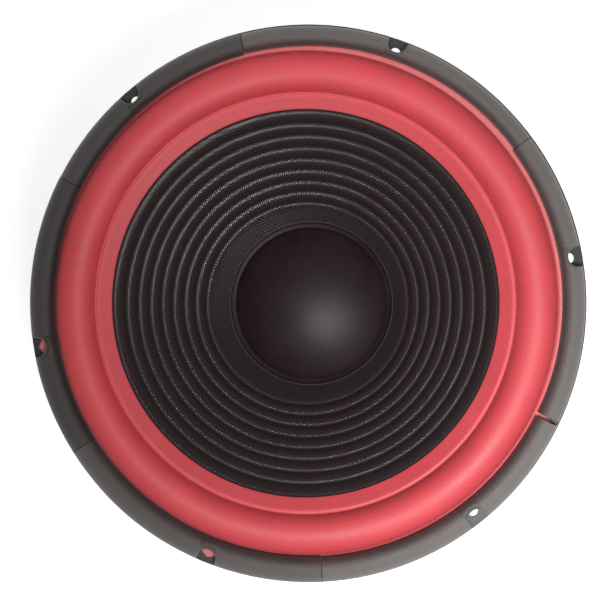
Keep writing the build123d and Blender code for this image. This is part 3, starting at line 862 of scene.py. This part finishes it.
@dataclass
class Cone:
    """The moving cone: a corrugated woven cone with its dust cap and voice coil."""

    slope: float = 0.6
    wall: float = 0.8
    outer_groove_r: float = 102.6
    groove_count: int = 8
    groove_pitch: float = 6.0
    groove_depth: float = 1.25
    rib_roundness: float = 0.8
    band_rise: float = 0.5
    steps_in_pitch: int = 14
    rib_unevenness: float = 0.12
    cap_lip_r: float = 49.5
    cap_edge_r: float = 45.7
    cap_rise: float = 13.0
    cap_paper: float = 0.8
    cap_shift: tuple[float, float] = (2.07, -0.35)
    segments: int = 288
    cap_segments: int = 160
    rim_r: float = field(init=False)
    neck_r: float = field(init=False, default=25.5)

    def __post_init__(self) -> None:
        """Read the rim's radius from the frame."""
        self.rim_r = node_size("cone")[0]

    def front(self, radius: float) -> float:
        """Height of the plain front face at a radius."""
        return self.slope * (radius - self.rim_r)

    def pressed_end(self) -> float:
        """Radius where the innermost rib ends and the smooth band begins."""
        return self.outer_groove_r - self.groove_pitch * (self.groove_count - 0.5)

    def pressed(self, radius: float) -> float:
        """Height that the pressing adds to the plain front: flat bands parted by round grooves.

        Args:
            radius: distance from the axis.

        Returns:
            The height, negative in a groove.
        """
        start = self.outer_groove_r + self.groove_pitch
        end = self.pressed_end()
        if not end < radius < start:
            return 0.0
        phase = math.pi * (self.outer_groove_r - radius) / self.groove_pitch
        groove = 1.0 - abs(math.sin(phase)) ** self.rib_roundness
        if radius > self.outer_groove_r + self.groove_pitch / 2:
            groove = 0.0
        fade = min(1.0, (start - radius) / 2.0, (radius - end) / 3.0)
        return self.band_rise * fade - self.groove_depth * groove

    def corrugated(self, steps_in_pitch: int, drop: float) -> list[tuple[float, float]]:
        """Points of the pressed face from the rim to the neck.

        Args:
            steps_in_pitch: points for each groove.
            drop: distance below the front face.

        Returns:
            The points, as (radius, height).
        """
        step = self.groove_pitch / steps_in_pitch
        pressed_end = self.pressed_end()
        points = [(self.rim_r, self.front(self.rim_r) - drop)]
        radius = self.outer_groove_r + self.groove_pitch
        while radius > pressed_end:
            points.append((radius, self.front(radius) + self.pressed(radius) - drop))
            radius -= step
        band_steps = 12
        for number in range(band_steps + 1):
            radius = pressed_end + (self.neck_r - pressed_end) * number / band_steps
            points.append((radius, self.front(radius) - drop))
        return points

    def build(self) -> None:
        """Model the cone and the dust cap, and dress the coil."""
        path = Outline(0.0, 0.0)
        path.points = self.corrugated(self.steps_in_pitch, 0.0)
        path.points += reversed(self.corrugated(self.steps_in_pitch // 2, self.wall))
        cone = spun("woven_cone", path, True, self.segments)
        reshape(cone, self.hand_pressed)
        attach(fit(cone, BLACK_CLOTH, "cone_cloth", "cone"), Body.CONE.value)
        cap = spun("dust_cap_dome", self.cap_outline(), True, self.cap_segments)
        reshape(cap, self.glued_askew)
        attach(fit(cap, BLACK_CAP, "dust_cap_paper", "dust_cap"), Body.CONE.value)
        dress(TINNED, "cone_eyelets")
        dress(FOIL, "voice_coil_former")
        dress(COPPER, "voice_coil_winding")
        dress(KRAFT, "former_collar")
        dress(BLACK_GLUE, "neck_adhesive")

    def hand_pressed(self, points: np.ndarray) -> np.ndarray:
        """Make the ribs a little uneven, as in pressed cloth.

        Args:
            points: vertices in millimetres.

        Returns:
            The moved vertices.
        """
        angle = np.arctan2(points[:, 1], points[:, 0])
        radius = np.hypot(points[:, 0], points[:, 1])
        free = np.clip((self.rim_r - 7 - radius) / 10, 0, 1) * np.clip((radius - 52) / 8, 0, 1)
        points[:, 2] += free * waver(angle + radius * 0.05, 1.7, self.rib_unevenness)
        return points

    def glued_askew(self, points: np.ndarray) -> np.ndarray:
        """Slide the cap a little off the axis, its lip still lying on the cone.

        Args:
            points: vertices in millimetres.

        Returns:
            The moved vertices.
        """
        aside = points[:, 0] * self.cap_shift[0] + points[:, 1] * self.cap_shift[1]
        radius = np.hypot(points[:, 0], points[:, 1])
        points[:, 2] += self.slope * aside * radius / self.cap_lip_r**2
        points[:, 0] += self.cap_shift[0]
        points[:, 1] += self.cap_shift[1]
        return points

    def above(self, radius: float, gap: float) -> tuple[float, float]:
        """A point a little above the plain front face."""
        return radius, self.front(radius) + gap

    def cap_outline(self) -> Outline:
        """The dust cap's section: a glued lip, a crease and the dome.

        Returns:
            The closed section in radius and height.
        """
        rim = self.cap_lip_r
        path = Outline(*self.above(rim, 0.05))
        path.arc((rim - 0.3, self.front(rim) + 0.07), self.above(rim - 1.2, 0.1), 4)
        path.line(*self.above(self.cap_edge_r + 0.1, 0.35), 3)
        top = self.front(self.cap_edge_r) + self.cap_rise + self.cap_paper
        sphere = (self.cap_edge_r**2 + self.cap_rise**2) / (2 * self.cap_rise)
        foot = self.cap_edge_r - 0.8
        foot_z, half_z = (top - sphere + math.sqrt(sphere**2 - r**2) for r in (foot, foot / 2))
        path.line(foot, foot_z, 2)
        path.arc((foot / 2, half_z), (0.0, top), 28)
        path.line(0.0, top - self.cap_paper)
        path.arc((foot / 2, half_z - self.cap_paper), self.above(foot - 1.0, 0.05), 20)
        return path


@dataclass
class Suspension:
    """What holds the cone: the foam surround in front and the cloth spider behind."""

    lip: float = 0.8
    foam: float = 1.1
    roll_outer_r: float = 138.7
    roll_inner_r: float = 117.1
    roll_inner_z: float = 1.5
    valley_in: float = 0.65
    valley_z: float = 0.16
    skirt_inner_r: float = 108.7
    skirt_edge_r: float = 115.2
    skirt_ends_r: float = 116.4
    skirt: float = 0.85
    sag: float = 0.22
    sway: float = 0.3
    tabs: tuple = ((180.0, 2.7, 8.4), (240.0, 2.7, 8.4), (325.05, 0.9, 7.6))
    tab_root_r: float = 141.0
    spider_flat_r: float = 66.0
    spider_wave_r: float = 29.4
    spider_neck_r: float = 26.0
    spider_waves: int = 6
    spider_rise: float = 1.45
    spider_cloth: float = 0.55
    segments: int = 288
    spider_segments: int = 192

    def build(self) -> None:
        """Model the surround and the spider."""
        surround = spun("foam_surround", self.surround_outline(), True, self.segments)
        reshape(surround, self.hand_glued)
        fit(surround, RED_FOAM, "surround_foam", "surround")
        flex(surround)
        spider = spun("cloth_spider", self.spider_outline(), True, self.spider_segments)
        fit(spider, AMBER_CLOTH, "spider_cloth", "spider")
        flex(spider)

    def surround_outline(self) -> Outline:
        """The surround's section: flat lip, half roll, valley and skirt.

        Returns:
            The closed section in radius and height.
        """
        rim_r, _, top = node_size("surround")
        seat = node_size("basket")[2]
        cone = Cone()
        lip_z = seat + self.lip
        outer, inner = self.roll_outer_r, self.roll_inner_r
        crown = ((outer + inner) / 2, top - 0.1)
        path = Outline(rim_r, seat)
        path.arc((rim_r, seat + self.lip / 2), (rim_r - 0.25, lip_z), 3)
        path.line(outer + 0.7, lip_z, 3)
        path.arc((outer + 0.2, lip_z + 0.18), (outer, lip_z + 0.7), 4)
        path.arc(crown, (inner + 0.2, self.roll_inner_z), 40)
        valley = (inner - self.valley_in, self.valley_z)
        path.arc((inner - 0.1, self.valley_z + 0.33), valley, 6)
        edge = cone.above(self.skirt_edge_r, self.skirt)
        path.arc(((valley[0] + edge[0]) / 2 - 0.05, (valley[1] + edge[1]) / 2 + 0.09), edge, 8)
        tip_r, glued_z = cone.above(self.skirt_inner_r, 0.0)
        tip_z = glued_z + self.skirt
        path.line(tip_r + 0.3, tip_z, 6)
        path.arc((tip_r, tip_z - 0.35), (tip_r + 0.1, glued_z + 0.06), 3)
        path.line(self.skirt_ends_r, 0.05, 5)
        path.line(self.skirt_ends_r + 0.35, -0.5).line(inner + 0.35, -0.3)
        path.arc((crown[0], crown[1] - self.foam), (outer - self.foam, seat + 0.4), 30)
        path.line(outer - self.foam + 0.3, seat)
        return path

    def hand_glued(self, points: np.ndarray) -> np.ndarray:
        """Let the roll rise and sway a little round the ring, and the lip reach out in tabs.

        Args:
            points: vertices in millimetres.

        Returns:
            The moved vertices.
        """
        angle = np.arctan2(points[:, 1], points[:, 0])
        radius = np.hypot(points[:, 0], points[:, 1])
        middle = (self.roll_outer_r + self.roll_inner_r) / 2
        half_width = 11.0
        on_roll = np.clip(1 - ((radius - middle) / half_width) ** 2, 0, 1)
        points[:, 2] -= on_roll * (self.sag + waver(angle, 0.6, self.sag))
        outwards = on_roll * waver(angle, 2.9, self.sway)
        on_rim = np.clip((radius - self.tab_root_r) / 2.5, 0, 1)
        for at, width, reach in self.tabs:
            away = np.degrees(np.abs(np.angle(np.exp(1j * (angle - math.radians(at))))))
            outwards += np.clip(1 - (away / width) ** 2, 0, 1) * on_rim * reach
        points[:, :2] *= (1 + outwards / np.maximum(radius, 1))[:, None]
        return points

    def spider_outline(self) -> Outline:
        """The spider's section: glued rim, waves, and the neck.

        Returns:
            The closed section in radius and height.
        """
        outer_r, low, high = node_size("spider")
        middle = (low + high - self.spider_cloth) / 2
        half_wave = (self.spider_flat_r - self.spider_wave_r) / (2 * self.spider_waves)
        path = Outline(outer_r, middle).line(self.spider_flat_r, middle, 2)
        for number in range(2 * self.spider_waves):
            side = 1 if number % 2 == 0 else -1
            here = path.points[-1][0]
            path.arc(
                (here - half_wave / 2, middle + side * self.spider_rise),
                (here - half_wave, middle), 6,
            )
        path.line(self.spider_neck_r, middle, 2)
        path.points += [(r, z + self.spider_cloth) for r, z in reversed(path.points)]
        return path


@dataclass
class Gasket:
    """The front ring of six foam segments, each cut by hand and glued in turn."""

    outer_r: float = 152.9
    inner_r: float = 140.3
    inner_shift: float = 1.35
    inner_shift_angle: float = 35.0
    inner_drop: float = 4.6
    outer_drop: float = 5.6
    crown_share: float = 0.46
    dome_steps: int = 9
    notch_r: float = 5.4
    notch_centre_r: float = 150.5
    lip_step_r: float = 143.6
    joints: tuple = (
        (26.2, 0.4), (93.3, 0.9), (143.0, 0.4), (203.7, 0.4), (265.0, 0.6), (325.3, 2.4),
    )
    tallest: tuple = (0.0, -0.15, 0.0, -0.1, -0.25, -0.1)
    set_in: tuple = (-0.4, -0.3, 0.0, 0.0, 0.0, -0.2)
    inner_out: tuple = (0.8, 0.2, 0.0, -0.2, 0.0, -0.1)
    # painted light and shade: each segment's foam made lighter on the lit right of the ring and
    # darker on the shaded left
    painted_light_by_segment: tuple = (1.05, 0.62, 0.5, 0.95, 1.22, 1.15)
    column: float = 0.55

    def build(self) -> None:
        """Model every segment."""
        for index, (start, gap) in enumerate(self.joints):
            after, after_gap = self.joints[(index + 1) % len(self.joints)]
            span = (after - start) % 360.0
            first = math.radians(start) + gap / 2 / self.outer_r
            last = math.radians(start + span) - after_gap / 2 / self.outer_r
            self.segment(index, first, last)

    def segment(self, index: int, first: float, last: float) -> None:
        """Model one segment.

        Args:
            index: its place in the ring, from 0.
            first: angle of its first end, in radians.
            last: angle of its last end.
        """
        node = f"gasket_segment_{index + 1}"
        piece = draw(f"foam_gasket_{index + 1}", self.section(), True)
        steps = round((last - first) * self.outer_r / self.column)
        sweep = first - last  # the spin operator turns clockwise
        bpy.ops.mesh.edge_face_add()
        bpy.ops.mesh.poke()
        bpy.ops.mesh.spin(steps=steps, angle=sweep, center=(0, 0, 0), axis=(0, 0, 1))
        bpy.ops.mesh.select_all(action="SELECT")
        bpy.ops.mesh.normals_make_consistent(inside=False)
        bpy.ops.object.mode_set(mode="OBJECT")
        piece.data.transform(Matrix.Rotation(first, 4, "Z"))
        reshape(piece, lambda points: self.cut(points, index))
        bpy.ops.object.shade_smooth_by_angle(angle=math.radians(50))
        # painted light and shade: the segment's foam colours scaled by where it lies in the light
        segment_light = self.painted_light_by_segment[index]
        foam = replace(
            GREY_FOAM, name=f"grey_gasket_foam_{index + 1}",
            colour=tuple(c * segment_light for c in GREY_FOAM.colour),
            pale_edge_and_glare_colour=tuple(c * segment_light for c in GREY_FOAM.pale_edge_and_glare_colour),
        )
        fit(piece, foam, "gasket_foam", node)
        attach(piece, Body.FRAME.value)

    def section(self) -> Outline:
        """The strip's section: stepped over the surround's lip, domed on top.

        Returns:
            The closed section in radius and height.
        """
        top = node_size("gasket_segment_1")[2]
        seat = node_size("basket")[2]
        low, high = self.inner_r, self.outer_r
        crown = low + (high - low) * self.crown_share
        path = Outline(low, seat + 0.85).line(low, top - self.inner_drop, 4)
        quarter = [math.pi / 2 * step / self.dome_steps for step in range(1, self.dome_steps + 1)]
        for turn in quarter:
            drop = self.inner_drop * (1 - math.sin(turn))
            path.points.append((crown - (crown - low) * math.cos(turn), top - drop))
        for turn in quarter:
            drop = self.outer_drop * (1 - math.cos(turn))
            path.points.append((crown + (high - crown) * math.sin(turn), top - drop))
        path.line(high, seat + 0.3, 3).line(high - 0.2, seat)
        path.line(self.lip_step_r, seat, 3).line(self.lip_step_r, seat + 0.85)
        return path

    def cut(self, points: np.ndarray, index: int) -> np.ndarray:
        """Shape the plain arc: its shifted inner edge, its bolt notch and its hand-cut unevenness.

        Args:
            points: vertices in millimetres.
            index: the segment's place in the ring.

        Returns:
            The moved vertices.
        """
        x, y, z = points.T
        angle, radius = np.arctan2(y, x), np.hypot(x, y)
        share = np.clip((radius - self.inner_r) / (self.outer_r - self.inner_r), 0, 1)
        lean = self.inner_shift * np.cos(angle - math.radians(self.inner_shift_angle))
        inner = self.inner_r + lean + self.inner_out[index] + waver(angle, index + 0.4, 0.35)
        outer = self.outer_r + self.set_in[index] + waver(angle, index + 2.0, 0.25)
        hole = math.radians(60.0 * round(math.degrees(float(np.mean(np.unwrap(angle)))) / 60.0))
        aside = self.notch_centre_r * np.sin(angle - hole)
        reach = np.sqrt(np.clip(self.notch_r**2 - aside**2, 0, None))
        height = np.clip((z - 1.2) / 8.0, 0, 1)
        notch_wall = self.notch_centre_r - reach + 0.9 * height
        in_notch = (np.abs(aside) < self.notch_r * 0.985) & (np.cos(angle - hole) > 0)
        outer = np.where(in_notch, np.minimum(outer, notch_wall), outer)
        radius = inner + share * (outer - inner)
        raised = np.clip((z - 6.0) / 2.0, 0, 1)
        z = z + raised * (self.tallest[index] + waver(angle * 3, index, 0.12))
        points[:, 0], points[:, 1], points[:, 2] = radius * np.cos(angle), radius * np.sin(angle), z
        return points


@dataclass
class Leads:
    """The two tinsel leads between the terminals and the cone."""

    radius: float = 1.0
    length: float = 0.0785
    route: tuple = (
        (15.0, -107.75, -36.97), (15.0, -102.52, -30.92), (14.5, -91.5, -33.5),
        (13.6, -79.0, -41.0), (12.6, -67.5, -48.5), (11.6, -57.0, -53.6),
        (10.5, -48.0, -54.6), (9.86, -42.64, -52.34), (9.17, -39.65, -47.19),
    )

    def build(self) -> None:
        """Model both leads."""
        for side, sign in ((-1, "positive"), (1, "negative")):
            self.lead(side, f"tinsel_lead_{sign}")

    def centre_line(self, side: int) -> list[Vector]:
        """The smooth line that one lead follows.

        Args:
            side: -1 for the positive lead, 1 for the negative.

        Returns:
            Points on the line, in metres.
        """
        curve = bpy.data.curves.new("lead_route", "CURVE")
        curve.dimensions = "3D"
        spline = curve.splines.new("NURBS")
        spline.points.add(len(self.route) - 1)
        for point, (x, y, z) in zip(spline.points, self.route):
            point.co = (side * x * MM, y * MM, z * MM, 1)
        spline.order_u = 3
        spline.use_endpoint_u = True
        curve.resolution_u = 12
        holder = bpy.data.objects.new("lead_route", curve)
        bpy.context.scene.collection.objects.link(holder)
        bpy.context.view_layer.update()
        line = bpy.data.meshes.new_from_object(holder)
        points = [v.co.copy() for v in line.vertices]
        bpy.data.objects.remove(holder)
        bpy.data.meshes.remove(line)
        return points

    def lead(self, side: int, node: str) -> None:
        """Model one braided lead as a tube on its line.

        Args:
            side: -1 for the positive lead, 1 for the negative.
            node: the CAD node that it stands for.
        """
        line = self.centre_line(side)
        mesh = bpy.data.meshes.new(node + "_braid")
        piece = bpy.data.objects.new(node + "_braid", mesh)
        bpy.context.scene.collection.objects.link(piece)
        build = bmesh.new()
        uv = build.loops.layers.uv.new("route")
        around = 20
        rings, travelled = [], 0.0
        side_way = Vector((1, 0, 0))
        for i, here in enumerate(line):
            ahead = (line[min(i + 1, len(line) - 1)] - line[max(i - 1, 0)]).normalized()
            side_way = (side_way - ahead * side_way.dot(ahead)).normalized()
            up = ahead.cross(side_way)
            travelled += (here - line[i - 1]).length if i else 0.0
            ring = []
            for k in range(around):
                turn = FULL_TURN * k / around
                out = side_way * math.cos(turn) + up * math.sin(turn)
                ring.append(build.verts.new(here + out * self.radius * MM))
            rings.append((ring, travelled))
        for (ring, a), (following, b) in zip(rings, rings[1:]):
            for k in range(around):
                n = (k + 1) % around
                face = build.faces.new((ring[k], ring[n], following[n], following[k]))
                for loop, (u, v) in zip(face.loops, ((k, a), (k + 1, a), (k + 1, b), (k, b))):
                    loop[uv].uv = (u / around, v / self.length)
        build.faces.new(list(reversed(rings[0][0])))
        build.faces.new(rings[-1][0])
        bmesh.ops.recalc_face_normals(build, faces=build.faces)
        build.to_mesh(mesh)
        build.free()
        mesh.polygons.foreach_set("use_smooth", [True] * len(mesh.polygons))
        fit(piece, TINSEL, "tinsel_braid", node)
        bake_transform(piece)


class Rear:
    """Everything behind: basket, motor and terminals, dressed where the CAD holds their shape."""

    def build(self) -> None:
        """Dress the CAD nodes."""
        dress(BLACK_PAINT, "basket")
        dress(ZINC, "top_plate", "yoke", "top_plate_rivets")
        dress(FERRITE, "magnet")
        dress(HARD_PAPER, "terminal_board")
        dress(TINNED, "terminal_positive", "terminal_negative")
        dress(TINNED, "terminal_board_rivets", "terminal_lug_eyelets")


# ---- studio -------------------------------------------------------------------------------------


@dataclass(frozen=True)
class Lamp:
    """A square soft light: its place about the axis, the spot it faces, and how it shines.

    Lengths are millimetres and angles degrees.
    """

    angle: float
    out: float
    height: float
    aim_angle: float
    aim_out: float
    size: float
    watts: float
    spread: float
    in_reflections: bool


@dataclass
class Studio:
    """The floor, the soft lights and the camera."""

    up_angle: float = 80.5
    camera_at: tuple[float, float, float] = (34.5, -5.8, 457.0)
    aim_at: tuple[float, float, float] = (2.5, 1.0, 0.0)
    lens: float = 48.6
    key: Lamp = Lamp(-67.0, 172.0, 430.0, -42.0, 92.0, 130.0, 0.515, 80.0, True)
    second: Lamp = Lamp(75.0, 170.0, 300.0, 70.0, 105.0, 160.0, 0.06, 60.0, False)
    floor_size: float = 60.0
    floor_below: float = 0.5
    floor_glow: float = 0.6
    sky: float = 0.36
    backdrop: float = 0.86

    def build(self) -> None:
        """Set up the stage."""
        self.floor()
        self.light("key", self.key)
        self.light("second", self.second)
        world = bpy.data.worlds.new("soft_room")
        bpy.context.scene.world = world
        world.use_nodes = True
        room = Sheet(world.node_tree)
        seen = room.add("LightPath").outputs["Is Camera Ray"]
        glow = world.node_tree.nodes["Background"]
        glow.inputs[0].default_value = (1.0, 0.99, 0.98, 1)
        room.tree.links.new(room.ramp(seen, 0, 1, self.sky, self.backdrop), glow.inputs[1])
        bpy.context.scene.view_settings.view_transform = "Standard"
        self.camera()

    def around(self, degrees: float, radius: float, height: float) -> tuple[float, float, float]:
        """A point at an angle, distance and height about the driver's axis."""
        angle = math.radians(degrees)
        return radius * math.cos(angle), radius * math.sin(angle), height

    def floor(self) -> None:
        """A plain pale floor under the magnet, seen from above only."""
        deselect()
        rest = CAD_BOX[0].z - self.floor_below * MM
        bpy.ops.mesh.primitive_plane_add(size=self.floor_size, location=(0, 0, rest))
        plane = bpy.context.object
        plane.name = "floor"
        made = bpy.data.materials.new("pale_floor")
        made.use_nodes = True
        sheet = Sheet(made.node_tree)
        shader = made.node_tree.nodes["Principled BSDF"]
        shader.inputs["Base Color"].default_value = (0.9, 0.9, 0.9, 1)
        shader.inputs["Roughness"].default_value = 0.9
        shader.inputs["Emission Color"].default_value = (1.0, 1.0, 1.0, 1)
        shader.inputs["Emission Strength"].default_value = self.floor_glow
        clear = sheet.add("BsdfTransparent").outputs[0]
        behind = sheet.add("NewGeometry").outputs["Backfacing"]
        both = sheet.add("MixShader", {0: behind, 1: shader.outputs[0], 2: clear}).outputs[0]
        made.node_tree.links.new(both, made.node_tree.nodes["Material Output"].inputs[0])
        plane.data.materials.append(made)

    def light(self, name: str, lamp: Lamp) -> None:
        """Hang one light.

        Args:
            name: its name.
            lamp: what it is like.
        """
        data = bpy.data.lights.new(name, "AREA")
        data.energy = lamp.watts
        data.size = lamp.size * MM
        data.spread = math.radians(lamp.spread)
        holder = bpy.data.objects.new(name, data)
        bpy.context.scene.collection.objects.link(holder)
        holder.location = Vector(self.around(lamp.angle, lamp.out, lamp.height)) * MM
        towards = Vector(self.around(lamp.aim_angle, lamp.aim_out, 0.0)) * MM - holder.location
        holder.rotation_euler = towards.to_track_quat("-Z", "Y").to_euler()
        holder.visible_glossy = lamp.in_reflections

    def camera(self) -> None:
        """Look down at the front of the driver, a little from its side."""
        data = bpy.data.cameras.new("camera")
        data.lens = self.lens
        data.sensor_width = 36.0
        data.clip_start = 0.01
        holder = bpy.data.objects.new("camera", data)
        bpy.context.scene.collection.objects.link(holder)
        eye, aim = Vector(self.camera_at) * MM, Vector(self.aim_at) * MM
        back = (eye - aim).normalized()
        up = Vector(self.around(self.up_angle, 1.0, 0.0))
        right = up.cross(back).normalized()
        turned = Matrix((right, back.cross(right), back)).transposed()
        holder.matrix_world = Matrix.Translation(eye) @ turned.to_4x4()
        bpy.context.scene.camera = holder


def main() -> None:
    """Build the driver's looks and set the stage."""
    logging.basicConfig(level=logging.INFO, format="%(name)s: %(message)s")
    for part in (Cone(), Suspension(), Gasket(), Leads(), Rear(), Studio()):
        log.info("building %s", type(part).__name__)
        part.build()
    deselect()


if __name__ == "__main__":
    main()
